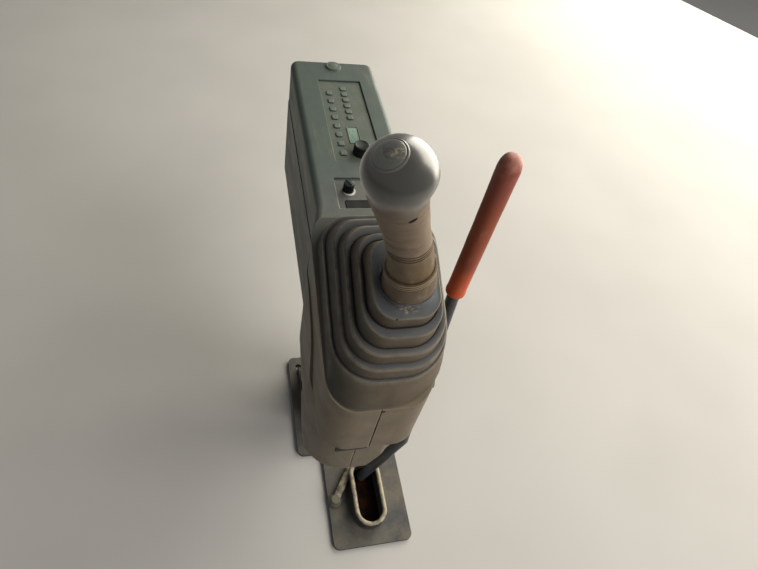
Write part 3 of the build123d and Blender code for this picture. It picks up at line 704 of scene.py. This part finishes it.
# %% Collar and grip
collar_keys = [
    (20.5, -12.0), (22.4, -8.0), (24.6, -4.4), (25.2, 0.0), (24.6, 6.0), (23.9, 11.0), (23.3, 15.6),
]
collar_line = smooth_line(collar_keys, 3)
for ring in (17.2, 19.8, 22.4):
    collar_line += [(22.6, ring - 1.1), (23.7, ring - 0.5), (23.7, ring + 0.4), (22.5, ring + 0.9)]
collar_line += [(22.3, 23.6), (21.5, 23.7), (20.9, 23.2), (20.2, 16.0)]
collar_work = bmesh.new()
spun(collar_work, collar_line, 96)
bow(collar_work)
add_piece("boot_collar_sleeve", collar_work, LEAN, grip_finish, ("boot_collar",), "joystick")

neck = [(17.0, 12.0), (20.8, 19.0)]
neck += smooth_line([(21.1, 22.0), (20.9, 26.0), (20.4, 33.0), (19.8, 42.0), (19.6, 50.6)], 4)
for groove in (53.2, 56.2, 59.2):
    neck += [(19.8, groove - 0.75), (18.5, groove - 0.35), (18.5, groove + 0.3), (19.8, groove + 0.7)]
neck += smooth_line(
    [
        (19.8, 61.6), (19.8, 68.0), (19.9, 75.0), (20.4, 83.0), (21.1, 90.0), (21.8, 96.0), (22.6, 102.0),
        (23.7, 108.0), (25.0, 113.0), (26.3, 118.0), (27.3, 122.0),
    ], 5
)
head_start = -0.26
head_turns = [head_start + (pi / 2 - head_start) * k / 30 for k in range(31)]
head = [(KNOB_R * cos(angle), REACH + KNOB_R * sin(angle)) for angle in head_turns[:-1]]
head.append((0.0, REACH + KNOB_R))
grip_work = bmesh.new()
spun(grip_work, neck + head, 112)
bow(grip_work)
add_piece("joystick_handle", grip_work, LEAN, grip_finish, ("joystick_grip",), "joystick")

# %% [markdown]
# A round cap is let into the head, turned to the operator's palm. Years of hands have worn its
# groove away at the near side and dented its middle, so the cap sinks a little into the ball there.
# It is left plain. The cap is spun about its own axis, and small dents are pushed in by a noise.

# %% Worn cap of the head
CAP_AXIS = Vector((-0.496, -0.173, 0.851)).normalized()
CAP_TURN = CAP_AXIS.to_track_quat("Z", "Y").to_matrix().to_4x4()
SINK = Vector((0.30, -0.32, -0.15))
CAP_PLACE = Matrix.Translation((KNOB + SINK) * MM) @ CAP_TURN
cap_line = [
    # radius and height from the ball's middle
    (14.4, 25.0), (13.9, 25.7), (13.3, 26.25), (12.9, 26.4), (12.6, 26.2), (12.2, 26.35), (11.9, 26.8),
    (11.2, 27.3), (9.5, 28.05), (7.5, 28.6), (5.0, 28.95), (2.5, 29.05), (0.0, 29.1),
]
DENT_R = 9.0
DENT_DEPTH = 0.9
cap_work = bmesh.new()
spun(cap_work, smooth_line(cap_line, 3), 96)
for corner in cap_work.verts:
    if corner.co.xy.length < DENT_R:
        fade = 1.0 - corner.co.xy.length / DENT_R
        corner.co.z -= DENT_DEPTH * fade * max(0.0, noise.noise(corner.co * 0.22 + Vector((3.0, 7.0, 1.0))))
add_piece("worn_head_cap", cap_work, CAP_PLACE, cap_worn_with_reflection, ("grip_cap",), "joystick")

# %% [markdown]
# The lock lever's sleeve is a red rubber tube with a round end, faded and dusty, pink where the
# hand has worn it and brightest near its foot. Grime sits in long streaks, so its noise is drawn
# out along the sleeve.

# %% Lever sleeve
LEVER_X = 88.1
GRIP_Y = -101.5


def sleeve_finish():
    recipe = Recipe("faded_red_sleeve")
    height = recipe.axis("Z")
    wander = recipe.step(recipe.noise(40.0, 4.0), 0.2, 0.8, -0.012, 0.012)
    height = recipe.math("ADD", height, wander)
    recipe.colour = recipe.mix(recipe.step(height, 0.455, 0.50), tone(190, 80, 40), tone(140, 66, 40))
    recipe.lay(recipe.step(height, 0.57, 0.61), tone(134, 66, 52))
    recipe.lay(recipe.step(height, 0.618, 0.636), tone(176, 122, 108))
    streaks = recipe.noise(75.0, 6.0, 0.65, 0.2, recipe.stretched(1.0, 1.0, 0.14))
    recipe.lay(recipe.step(streaks, 0.5, 0.75, 0.0, 0.45), tone(84, 50, 36))
    dusty = recipe.noise(110.0, 6.0, 0.7, 0.0, recipe.stretched(1.0, 1.0, 0.4))
    dusty = recipe.step(dusty, 0.55, 0.75, 0.0, 0.35)
    recipe.lay(dusty, tone(170, 118, 96))
    specks = recipe.noise(1400.0, 2.0)
    recipe.bump(specks, 0.04 * MM)
    return recipe.done(recipe.step(streaks, 0.3, 0.7, 0.42, 0.58))


sleeve_line = [(8.0, 447.0), (8.2, 443.6), (9.4, 443.1)] + smooth_line(
    [(10.8, 443.6), (11.6, 445.4), (11.6, 450.0), (11.2, 456.0), (11.1, 500.0), (11.2, 560.0), (11.5, 600.0),
     (11.7, 618.0), (11.3, 626.0), (9.9, 632.0), (7.4, 635.9), (4.0, 637.6), (0.0, 638.0)], 4
)
sleeve_work = bmesh.new()
spun(sleeve_work, sleeve_line, 48)
for corner in sleeve_work.verts:
    corner.co += noise.noise_vector(corner.co * 0.05) * 0.25 * min(1.0, corner.co.xy.length / 8.0)
add_piece(
    "lock_lever_sleeve", sleeve_work, at(LEVER_X, GRIP_Y, 0.0), sleeve_finish(),
    ("lock_lever_grip",), "lock_lever",
)

# %% [markdown]
# The pivot of the lock lever ends in a washer and a low nut with a bevelled edge. A cone with six
# sides and equal radii is the nut, and a small dome is the end of the bolt.

# %% Lever nut
NUT_R = 10.5
NUT_PLACE = at(98.9, -117.65, 272.0) @ Matrix.Rotation(radians(90.0), 4, "Y")
nut_work = bmesh.new()
bmesh.ops.create_cone(nut_work, cap_ends=True, segments=6, radius1=NUT_R, radius2=NUT_R, depth=3.0)
rim = [edge for edge in nut_work.edges if edge.verts[0].co.z * edge.verts[1].co.z > 0]
bmesh.ops.bevel(nut_work, geom=rim, offset=0.5, affect="EDGES", segments=2, profile=0.5, material=-1)
spun(nut_work, [(6.4, 1.3), (6.4, 1.7), (5.6, 1.9), (3.0, 2.0), (0.0, 2.05)], 32)
add_piece("lever_pivot_nut", nut_work, NUT_PLACE, steel_finish)

# %% [markdown]
# Keys, plates and frames are stacks of rounded rectangles. Each row gives a height, the half
# width, the half length and the corner radius, and the last loop is closed.

# %% Rounded blocks
def rounded_block(work, x, y, rows, steps=4, close_high=True):
    loops = [
        outline(work, height, x - half_x, x + half_x, y - half_y, y + half_y, (radius,) * 3, steps)
        for height, half_x, half_y, radius in rows
    ]
    bridge(work, loops, close_high)


PANEL_Z = 478.0
TOP_Z = 480.0
RADIO = Vector((3.5, 173.0, PANEL_Z))
BUTTONS = [
    # count, x, rear y, front y (from the radio's middle), half width, half length
    (8, -18.1, 59.4, -72.5, 4.1, 4.6),
    (6, 2.7, 71.0, 3.0, 4.1, 4.3),
]
keys_work = bmesh.new()
for count, x, rear_y, front_y, half_x, half_y in BUTTONS:
    for k in range(count):
        y = rear_y - (rear_y - front_y) * k / (count - 1)
        rows = [
            (0.08, half_x + 0.8, half_y + 0.8, 2.8), (0.1, half_x - 0.1, half_y - 0.1, 2.0),
            (0.9, half_x, half_y, 2.1), (1.3, half_x - 0.25, half_y - 0.25, 1.9),
            (1.5, half_x - 0.8, half_y - 0.8, 1.4), (1.42, half_x - 2.2, half_y - 2.2, 0.8),
        ]
        rounded_block(keys_work, x, y, rows)
print("keys", sum(row[0] for row in BUTTONS))

# %% [markdown]
# The keys are of the same grey-green plastic as the face and slightly paler on top. The gap
# round their feet is painted dark as shade, told apart by height alone.

# %% Radio keys
def key_finish():
    recipe = Recipe("radio_keys")
    patches = recipe.step(recipe.noise(60.0, 4.0), 0.35, 0.65)
    recipe.colour = recipe.mix(patches, tone(84, 96, 87), tone(96, 106, 98))
    grime = recipe.step(recipe.noise(400.0, 4.0, 0.6), 0.45, 0.7, 0.0, 0.35)
    recipe.lay(grime, tone(58, 64, 58))
    # Painted shade in the gap round the keys' feet.
    recipe.lay(recipe.step(recipe.axis("Z"), 0.47885, 0.4784), tone(30, 34, 31))
    recipe.bump(recipe.noise(1500.0, 2.0), 0.03 * MM)
    return recipe.done(recipe.step(patches, 0.0, 1.0, 0.42, 0.58))


add_piece("radio_keys", keys_work, at(*RADIO), key_finish(), ("radio_buttons",))

# %% [markdown]
# The display is a narrow bezel with a pale green film behind it, which shows faint darker blocks
# and a soft sheen. It carries no letters.

# %% Display
def film_finish():
    recipe = Recipe("display_film")
    cells = recipe.noise(210.0, 3.0, 0.5, 0.0, recipe.stretched(1.0, 0.45, 1.0))
    along = recipe.step(recipe.axis("Y"), 0.122, 0.155)
    recipe.colour = recipe.mix(along, tone(96, 124, 106), tone(128, 152, 138))
    recipe.lay(recipe.step(cells, 0.45, 0.62, 0.0, 0.5), tone(84, 108, 92))
    recipe.give("Coat Weight", 0.5)
    recipe.give("Coat Roughness", 0.12)
    recipe.bump(recipe.noise(300.0, 2.0), 0.01 * MM)
    return recipe.done(recipe.step(cells, 0.3, 0.7, 0.25, 0.38))


FILM_X = 1.5
FILM_Y = -35.0
film_work = bmesh.new()
rounded_block(film_work, FILM_X, FILM_Y, [(-0.5, 6.5, 16.5, 0.6), (-0.2, 6.4, 16.4, 0.6)])
add_piece("display_film", film_work, at(*RADIO), film_finish(), ("radio_display",))
bezel_work = bmesh.new()
bezel_rows = [
    (0.02, 8.0, 18.0, 2.2), (0.5, 7.8, 17.8, 2.0), (0.8, 7.4, 17.4, 1.7), (0.74, 7.0, 17.0, 1.3),
    (0.4, 6.6, 16.6, 0.9), (-0.3, 6.45, 16.45, 0.7),
]
rounded_block(bezel_work, FILM_X, FILM_Y, bezel_rows, close_high=False)
bezel_finish = aged(
    "display_bezel", tone(72, 84, 76), tone(86, 98, 90), patch=60.0, dust=0.15, rubbed=tone(126, 136, 124)
)
add_piece("display_bezel", bezel_work, at(*RADIO), bezel_finish)

# %% [markdown]
# The volume knob is a turned cap with fine flutes round its side, and the rotary switch is a
# smaller one with a ridge across its top and a white dial ring under it. The flutes are pressed
# in by moving the side's points with a cosine of their angle.

# %% Knobs
def flute(work, low, high, flutes, depth):
    for corner in work.verts:
        if low < corner.co.z < high:
            turn = atan2(corner.co.y, corner.co.x)
            corner.co.xy *= 1 - depth * (0.5 + 0.5 * cos(flutes * turn)) / corner.co.xy.length


def moulded_knob(name, low, side, top, foot_z, top_z):
    recipe = Recipe(name)
    patches = recipe.step(recipe.noise(120.0, 5.0), 0.35, 0.65)
    upper = recipe.mix(patches, top, tone(40, 47, 46))
    recipe.colour = recipe.mix(recipe.step(recipe.axis("Z"), foot_z, top_z), side, upper)
    recipe.lay(recipe.times(recipe.edges(0.0006), 0.5), tone(120, 124, 118))
    recipe.bump(recipe.noise(1400.0, 2.0), 0.02 * MM)
    recipe.give("Specular IOR Level", 0.22)
    return recipe.done(recipe.step(patches, 0.0, 1.0, low, low + 0.15))


VOLUME_PLACE = at(8.0, 101.0, PANEL_Z)
volume_work = bmesh.new()
volume_line = [
    (10.6, 0.0), (10.7, 0.6), (10.5, 1.4), (10.3, 2.2), (10.3, 6.0), (10.2, 11.4), (10.0, 12.6),
    (9.4, 13.4), (8.5, 13.7), (7.6, 13.4), (6.8, 13.2), (0.0, 13.2),
]
spun(volume_work, volume_line, 144)
flute(volume_work, 2.0, 12.0, 36, 0.5)
rounded_block(volume_work, 0.0, -6.2, [(13.1, 0.5, 1.6, 0.3), (13.5, 0.4, 1.5, 0.3)], 2)
volume_finish = moulded_knob("volume_knob_plastic", 0.3, tone(18, 20, 19), tone(26, 33, 32), 0.4895, 0.4910)
add_piece("volume_control", volume_work, VOLUME_PLACE, volume_finish, ("volume_knob",))

switch_work = bmesh.new()
switch_line = [(6.9, 1.0), (7.0, 1.6), (6.7, 2.4), (6.3, 11.4), (5.9, 12.4), (5.0, 12.8), (0.0, 12.8)]
spun(switch_work, switch_line, 96)
flute(switch_work, 2.3, 11.6, 16, 0.5)
rounded_block(switch_work, 0.0, 0.0, [(12.0, 1.2, 5.8, 0.9), (13.5, 1.1, 5.6, 0.9), (14.0, 0.7, 5.1, 0.6)], 3)
switch_finish = moulded_knob(
    "rotary_switch_plastic", 0.32, tone(17, 19, 20), tone(34, 41, 44), 0.4884, 0.4896
)
SWITCH_PLACE = at(-20.0, 30.4, PANEL_Z) @ Matrix.Rotation(radians(28.0), 4, "Z")
add_piece("rotary_control", switch_work, SWITCH_PLACE, switch_finish, ("rotary_switch",))
dial_work = bmesh.new()
spun(dial_work, [(8.0, 0.0), (8.0, 0.6), (7.7, 1.0), (7.0, 1.15), (5.0, 1.15)], 64)
dial_finish = aged("dial_white", tone(206, 208, 202), tone(188, 190, 182), patch=90.0, dust=0.2)
add_piece("rotary_dial", dial_work, at(-19.0, 29.6, PANEL_Z), dial_finish)

# %% [markdown]
# The label plate is left blank: a dark film in a thin raised frame, a little scuffed. The round
# cap at the rear closes a screw hole, with a fine groove round it.

# %% Label plate and round cap
label_work = bmesh.new()
label_rows = [
    (0.0, 23.0, 7.0, 1.2), (0.8, 22.9, 6.9, 1.2), (1.0, 22.5, 6.5, 1.0), (0.9, 22.0, 6.0, 0.8),
    (0.6, 21.8, 5.8, 0.7),
]
rounded_block(label_work, 0.0, 0.0, label_rows)
LABEL_PLACE = at(-3.0, 6.5, PANEL_Z)
add_piece("blank_label", label_work, LABEL_PLACE, plate_finish, ("label_plate",))
round_work = bmesh.new()
round_line = [
    (12.6, 0.02), (11.7, 0.1), (11.1, 0.1), (11.0, 1.6), (10.7, 2.3), (10.0, 2.7), (8.4, 2.8),
    (7.9, 2.5), (7.4, 2.8), (0.0, 3.0),
]
spun(round_work, round_line, 72)
cap_finish = aged(
    "round_cap_plastic", tone(76, 88, 81), tone(84, 96, 90), patch=40.0, dust=0.2, rubbed=tone(118, 126, 118)
)
add_piece("screw_cover", round_work, at(0.0, 298.0, TOP_Z), cap_finish, ("round_cap",))

# %% [markdown]
# The slot collar on the floor is a rubber moulding: a wall round the lever's slot with a thick
# bead on top, worn pale by boots and dust. Its outer wall at the right is painted paler as light,
# and the slot inside is painted dark as shade. It is a stack of rounded outlines that grow and
# shrink with height, which gives the bead its round section.

# %% Collar finish
def rubber_wall(name, bead_from, bead_to):
    recipe = Recipe(name)
    height = recipe.axis("Z")
    wander = recipe.step(recipe.noise(120.0, 4.0), 0.2, 0.8, -0.0012, 0.0012)
    height = recipe.math("ADD", height, wander)
    patches = recipe.step(recipe.noise(60.0, 6.0, 0.6), 0.35, 0.65)
    recipe.colour = recipe.mix(patches, tone(40, 43, 46), tone(56, 58, 58))
    scuffed = recipe.step(recipe.noise(70.0, 6.0, 0.65), 0.3, 0.62, 0.25, 0.95)
    bead = recipe.times(recipe.step(height, bead_from, bead_to), scuffed)
    recipe.lay(bead, tone(166, 156, 132))
    # The right outer wall is painted paler: this is painted light.
    outer = recipe.step(recipe.axis("X"), 0.0595, 0.064)
    dusty = recipe.times(recipe.step(height, 0.010, 0.020), outer)
    recipe.lay(recipe.times(dusty, 0.7), tone(160, 150, 126))
    low = recipe.times(recipe.step(height, 0.016, 0.006), 0.5)
    recipe.lay(low, tone(110, 98, 80))
    recipe.bump(recipe.noise(900.0, 3.0), 0.06 * MM)
    return recipe.done(recipe.step(patches, 0.0, 1.0, 0.5, 0.66))


SLOT = Vector((39.0, -174.0, 0.0))
collar_rows = [
    # height, grown from the slot's edge
    (6.0, 9.0), (8.5, 8.3), (15.0, 7.6), (21.0, 7.6), (24.0, 8.4), (26.2, 8.2), (27.5, 7.0), (28.0, 5.2),
    (27.6, 3.2), (26.4, 1.7), (24.2, 0.9), (20.0, 0.5), (6.4, 0.3),
]
collar_wall = bmesh.new()
wall_rows = [(height, 17.0 + grow, 46.0 + grow, 16.9 + grow) for height, grow in collar_rows]
rounded_block(collar_wall, 0.0, 0.0, wall_rows, 10, False)
wall_finish = rubber_wall("slot_rubber", 0.0255, 0.0272)
add_piece("slot_rubber_collar", collar_wall, at(*SLOT), wall_finish, ("slot_collar",))

# %% [markdown]
# A rib props the collar at its left and ends in a round boss over a fixing. Under the lever a
# near-black floor stands for the shade deep in the slot, with rust stains on it. They are stacks
# and a turned form, as the pieces above.

# %% Rib, boss and slot floor
rib_work = bmesh.new()
rib_rows = [
    (6.0, 8.4, 33.0, 6.4), (8.4, 7.6, 32.4, 5.8), (13.0, 6.6, 32.0, 5.2), (14.8, 5.4, 31.0, 4.2),
    (15.4, 3.4, 29.0, 2.6),
]
rounded_block(rib_work, 0.0, 0.0, rib_rows, 6)
RIB_PLACE = at(4.0, -152.0, 0.0) @ Matrix.Rotation(radians(-33.0), 4, "Z")
rib_finish = rubber_wall("rib_rubber", 0.0135, 0.0162)
add_piece("collar_rib", rib_work, RIB_PLACE, rib_finish)
boss_work = bmesh.new()
boss_line = [
    (11.6, 6.0), (10.8, 8.6), (9.6, 12.6), (9.0, 13.4), (8.2, 13.4), (7.9, 12.8), (7.6, 13.2), (7.2, 15.4),
    (6.4, 16.2), (0.0, 16.6),
]
spun(boss_work, boss_line, 56)
boss_finish = aged(
    "boss_cap", tone(92, 92, 82), tone(74, 76, 72), patch=60.0, dust=0.4, rubbed=tone(140, 132, 112)
)
add_piece("rib_boss", boss_work, at(-12.5, -177.0, 0.0), boss_finish)
floor_rows = [(0.1, 16.9, 45.9, 16.8), (0.6, 16.9, 45.9, 16.8)]
well_work = bmesh.new()
rounded_block(well_work, 0.0, 0.0, floor_rows, 10)
# Near black as painted shade of the deep slot, with rust-brown stains.
slot_shade_finish = aged(
    "slot_floor_shade", tone(12, 11, 10), tone(46, 26, 16), patch=70.0, dust=0.0, rough=(0.85, 0.95), shine=0.1
)
add_piece("slot_floor_shade", well_work, at(*SLOT), slot_shade_finish)

# %% [markdown]
# The stand is welded: a rough bead runs round the foot and the head of the tube. The bead is a
# stack of rounded outlines whose points are shaken by a noise, as ripples of weld metal.

# %% Weld beads
TUBE_HALF_X = 35.0
TUBE_HALF_Y = 50.0


def weld_bead(name, foot, direction):
    work = bmesh.new()
    rows = [
        (foot + direction * height, TUBE_HALF_X + grow, TUBE_HALF_Y + grow, 1.2 + grow)
        for height, grow in ((0.0, 5.2), (1.6, 4.6), (3.0, 3.2), (4.2, 1.6), (5.0, 0.1))
    ]
    rounded_block(work, 0.0, 15.0, rows, 4, False)
    long_edges = [edge for edge in work.edges if edge.calc_length() > 20.0]
    bmesh.ops.subdivide_edges(work, edges=long_edges, cuts=28)
    for corner in work.verts:
        corner.co += noise.noise_vector(corner.co * 0.4) * 0.35
    add_piece(name, work, None, stand_finish, sharp=50.0)


carrier_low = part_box("carrier_plate")[0][2] / MM
weld_bead("foot_weld", 12.0, 1.0)
weld_bead("head_weld", carrier_low - 6.0, -1.0)

# %% [markdown]
# The four pilot hoses leave the valve through the carrier and end in steel fittings, ready to be
# joined: a ribbed ferrule, a hexagon and a blind cap.

# %% Hose ends
hose_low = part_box("valve_hoses")[0][2] / MM
hose_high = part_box("valve_hoses")[1][2] / MM
ferrules_work = bmesh.new()
hoses_work = bmesh.new()
HOSES_X = (-24.0, -8.0, 8.0, 24.0)
HOSES_Y = -152.068
for x in HOSES_X:
    place = Matrix.Translation((x, HOSES_Y, 0.0))
    before = set(hoses_work.verts)
    spun(hoses_work, [(5.6, hose_low + 30.0), (5.6, hose_high - 0.2), (0.0, hose_high - 0.2)], 32)
    bmesh.ops.transform(hoses_work, matrix=place, verts=[v for v in hoses_work.verts if v not in before])
    before = set(ferrules_work.verts)
    ribs = [(6.2 if k % 2 else 5.8, hose_low + 18.0 + 2.0 * k) for k in range(8)]
    foot = [(0.0, hose_low), (4.6, hose_low), (5.2, hose_low + 0.8), (5.2, hose_low + 8.0)]
    spun(ferrules_work, foot + ribs + [(5.6, hose_low + 33.0)], 32)
    nut = bmesh.ops.create_cone(ferrules_work, cap_ends=True, segments=6, radius1=6.9, radius2=6.9, depth=8.0)
    bmesh.ops.translate(ferrules_work, vec=(0.0, 0.0, hose_low + 12.0), verts=nut["verts"])
    added = [corner for corner in ferrules_work.verts if corner not in before]
    bmesh.ops.transform(ferrules_work, matrix=place, verts=added)
add_piece("pilot_hose_ends", hoses_work, None, hose_finish, ("valve_hoses",))
add_piece("hose_ferrules", ferrules_work, None, steel_finish, ("valve_hoses",))

# %% [markdown]
# Under the nose a dark rubber strip stands for the shade in the gap between the covers, and shows as a dark
# line.

# %% Nose shade strip
shade_strip_work = bmesh.new()
shade_strip_rows = [(2.6, 18.6, 0.7, 0.6), (3.1, 19.4, 1.1, 1.0), (8.0, 19.6, 1.2, 1.0), (9.4, 19.6, 1.2, 1.0)]
rounded_block(shade_strip_work, 0.0, 0.0, shade_strip_rows, 3)
add_piece("nose_shade_strip", shade_strip_work, at(-30.0, -209.6, 286.6), hose_finish)

# %% [markdown]
# The floor and the light. The floor is pale and plain. The world gives a faint even fill, and the
# camera and mirroring surfaces see a plain grey backdrop in its place. Two large warm lamps at the
# right stand for the daylight, one at the rear and one higher at the front. Polished pieces don't
# mirror the front one.

# %% Floor and light
def backdrop_finish():
    recipe = Recipe("studio_floor")
    patches = recipe.step(recipe.noise(3.0, 2.0), 0.3, 0.7)
    recipe.colour = recipe.mix(patches, (0.44, 0.43, 0.41, 1.0), (0.47, 0.46, 0.44, 1.0))
    return recipe.done(0.8)


FLOOR_HALF = 6000.0
floor_work = bmesh.new()
bmesh.ops.create_grid(floor_work, x_segments=1, y_segments=1, size=FLOOR_HALF)
bmesh.ops.scale(floor_work, vec=(MM, MM, MM), verts=floor_work.verts)
floor_mesh = bpy.data.meshes.new("studio_floor")
floor_work.to_mesh(floor_mesh)
floor_work.free()
floor_mesh.materials.append(backdrop_finish())
studio_floor = bpy.data.objects.new("studio_floor", floor_mesh)
bpy.context.collection.objects.link(studio_floor)

world = bpy.data.worlds.new("soft_daylight")
world.use_nodes = True
bpy.context.scene.world = world
world_tree = world.node_tree
daylight = world_tree.nodes["Background"]
daylight.inputs["Color"].default_value = (0.94, 0.97, 1.0, 1.0)
daylight.inputs["Strength"].default_value = 0.12
backdrop = world_tree.nodes.new("ShaderNodeBackground")
backdrop.inputs["Color"].default_value = (0.3, 0.3, 0.29, 1.0)
path = world_tree.nodes.new("ShaderNodeLightPath")
mixer = world_tree.nodes.new("ShaderNodeMixShader")
seen = path.outputs["Is Camera Ray"]
for ray in ("Is Glossy Ray", "Is Transmission Ray"):
    either = world_tree.nodes.new("ShaderNodeMath")
    either.operation = "MAXIMUM"
    world_tree.links.new(seen, either.inputs[0])
    world_tree.links.new(path.outputs[ray], either.inputs[1])
    seen = either.outputs[0]
world_tree.links.new(seen, mixer.inputs[0])
world_tree.links.new(daylight.outputs[0], mixer.inputs[1])
world_tree.links.new(backdrop.outputs[0], mixer.inputs[2])
world_tree.links.new(mixer.outputs[0], world_tree.nodes["World Output"].inputs[0])

LAMPS = [
    # name, place, aimed at, size, watts, colour
    ("door_daylight", (1.9, 1.2, 1.2), (0.0, -0.1, 0.5), 2.9, 128.0, (1.0, 0.94, 0.81)),
    ("windscreen_soft", (2.1, -1.8, 2.2), (0.0, -0.1, 0.4), 2.6, 112.0, (1.0, 0.96, 0.91)),
]
for name, place, aimed, size, watts, colour in LAMPS:
    lamp_data = bpy.data.lights.new(name, "AREA")
    lamp_data.size = size
    lamp_data.energy = watts
    lamp_data.color = colour
    lamp = bpy.data.objects.new(name, lamp_data)
    lamp.location = place
    lamp.visible_glossy = name != "windscreen_soft"
    lamp.rotation_euler = (Vector(aimed) - Vector(place)).to_track_quat("-Z", "Y").to_euler()
    bpy.context.collection.objects.link(lamp)
bpy.context.scene.view_settings.view_transform = "Standard"
print("lamps", len(LAMPS))
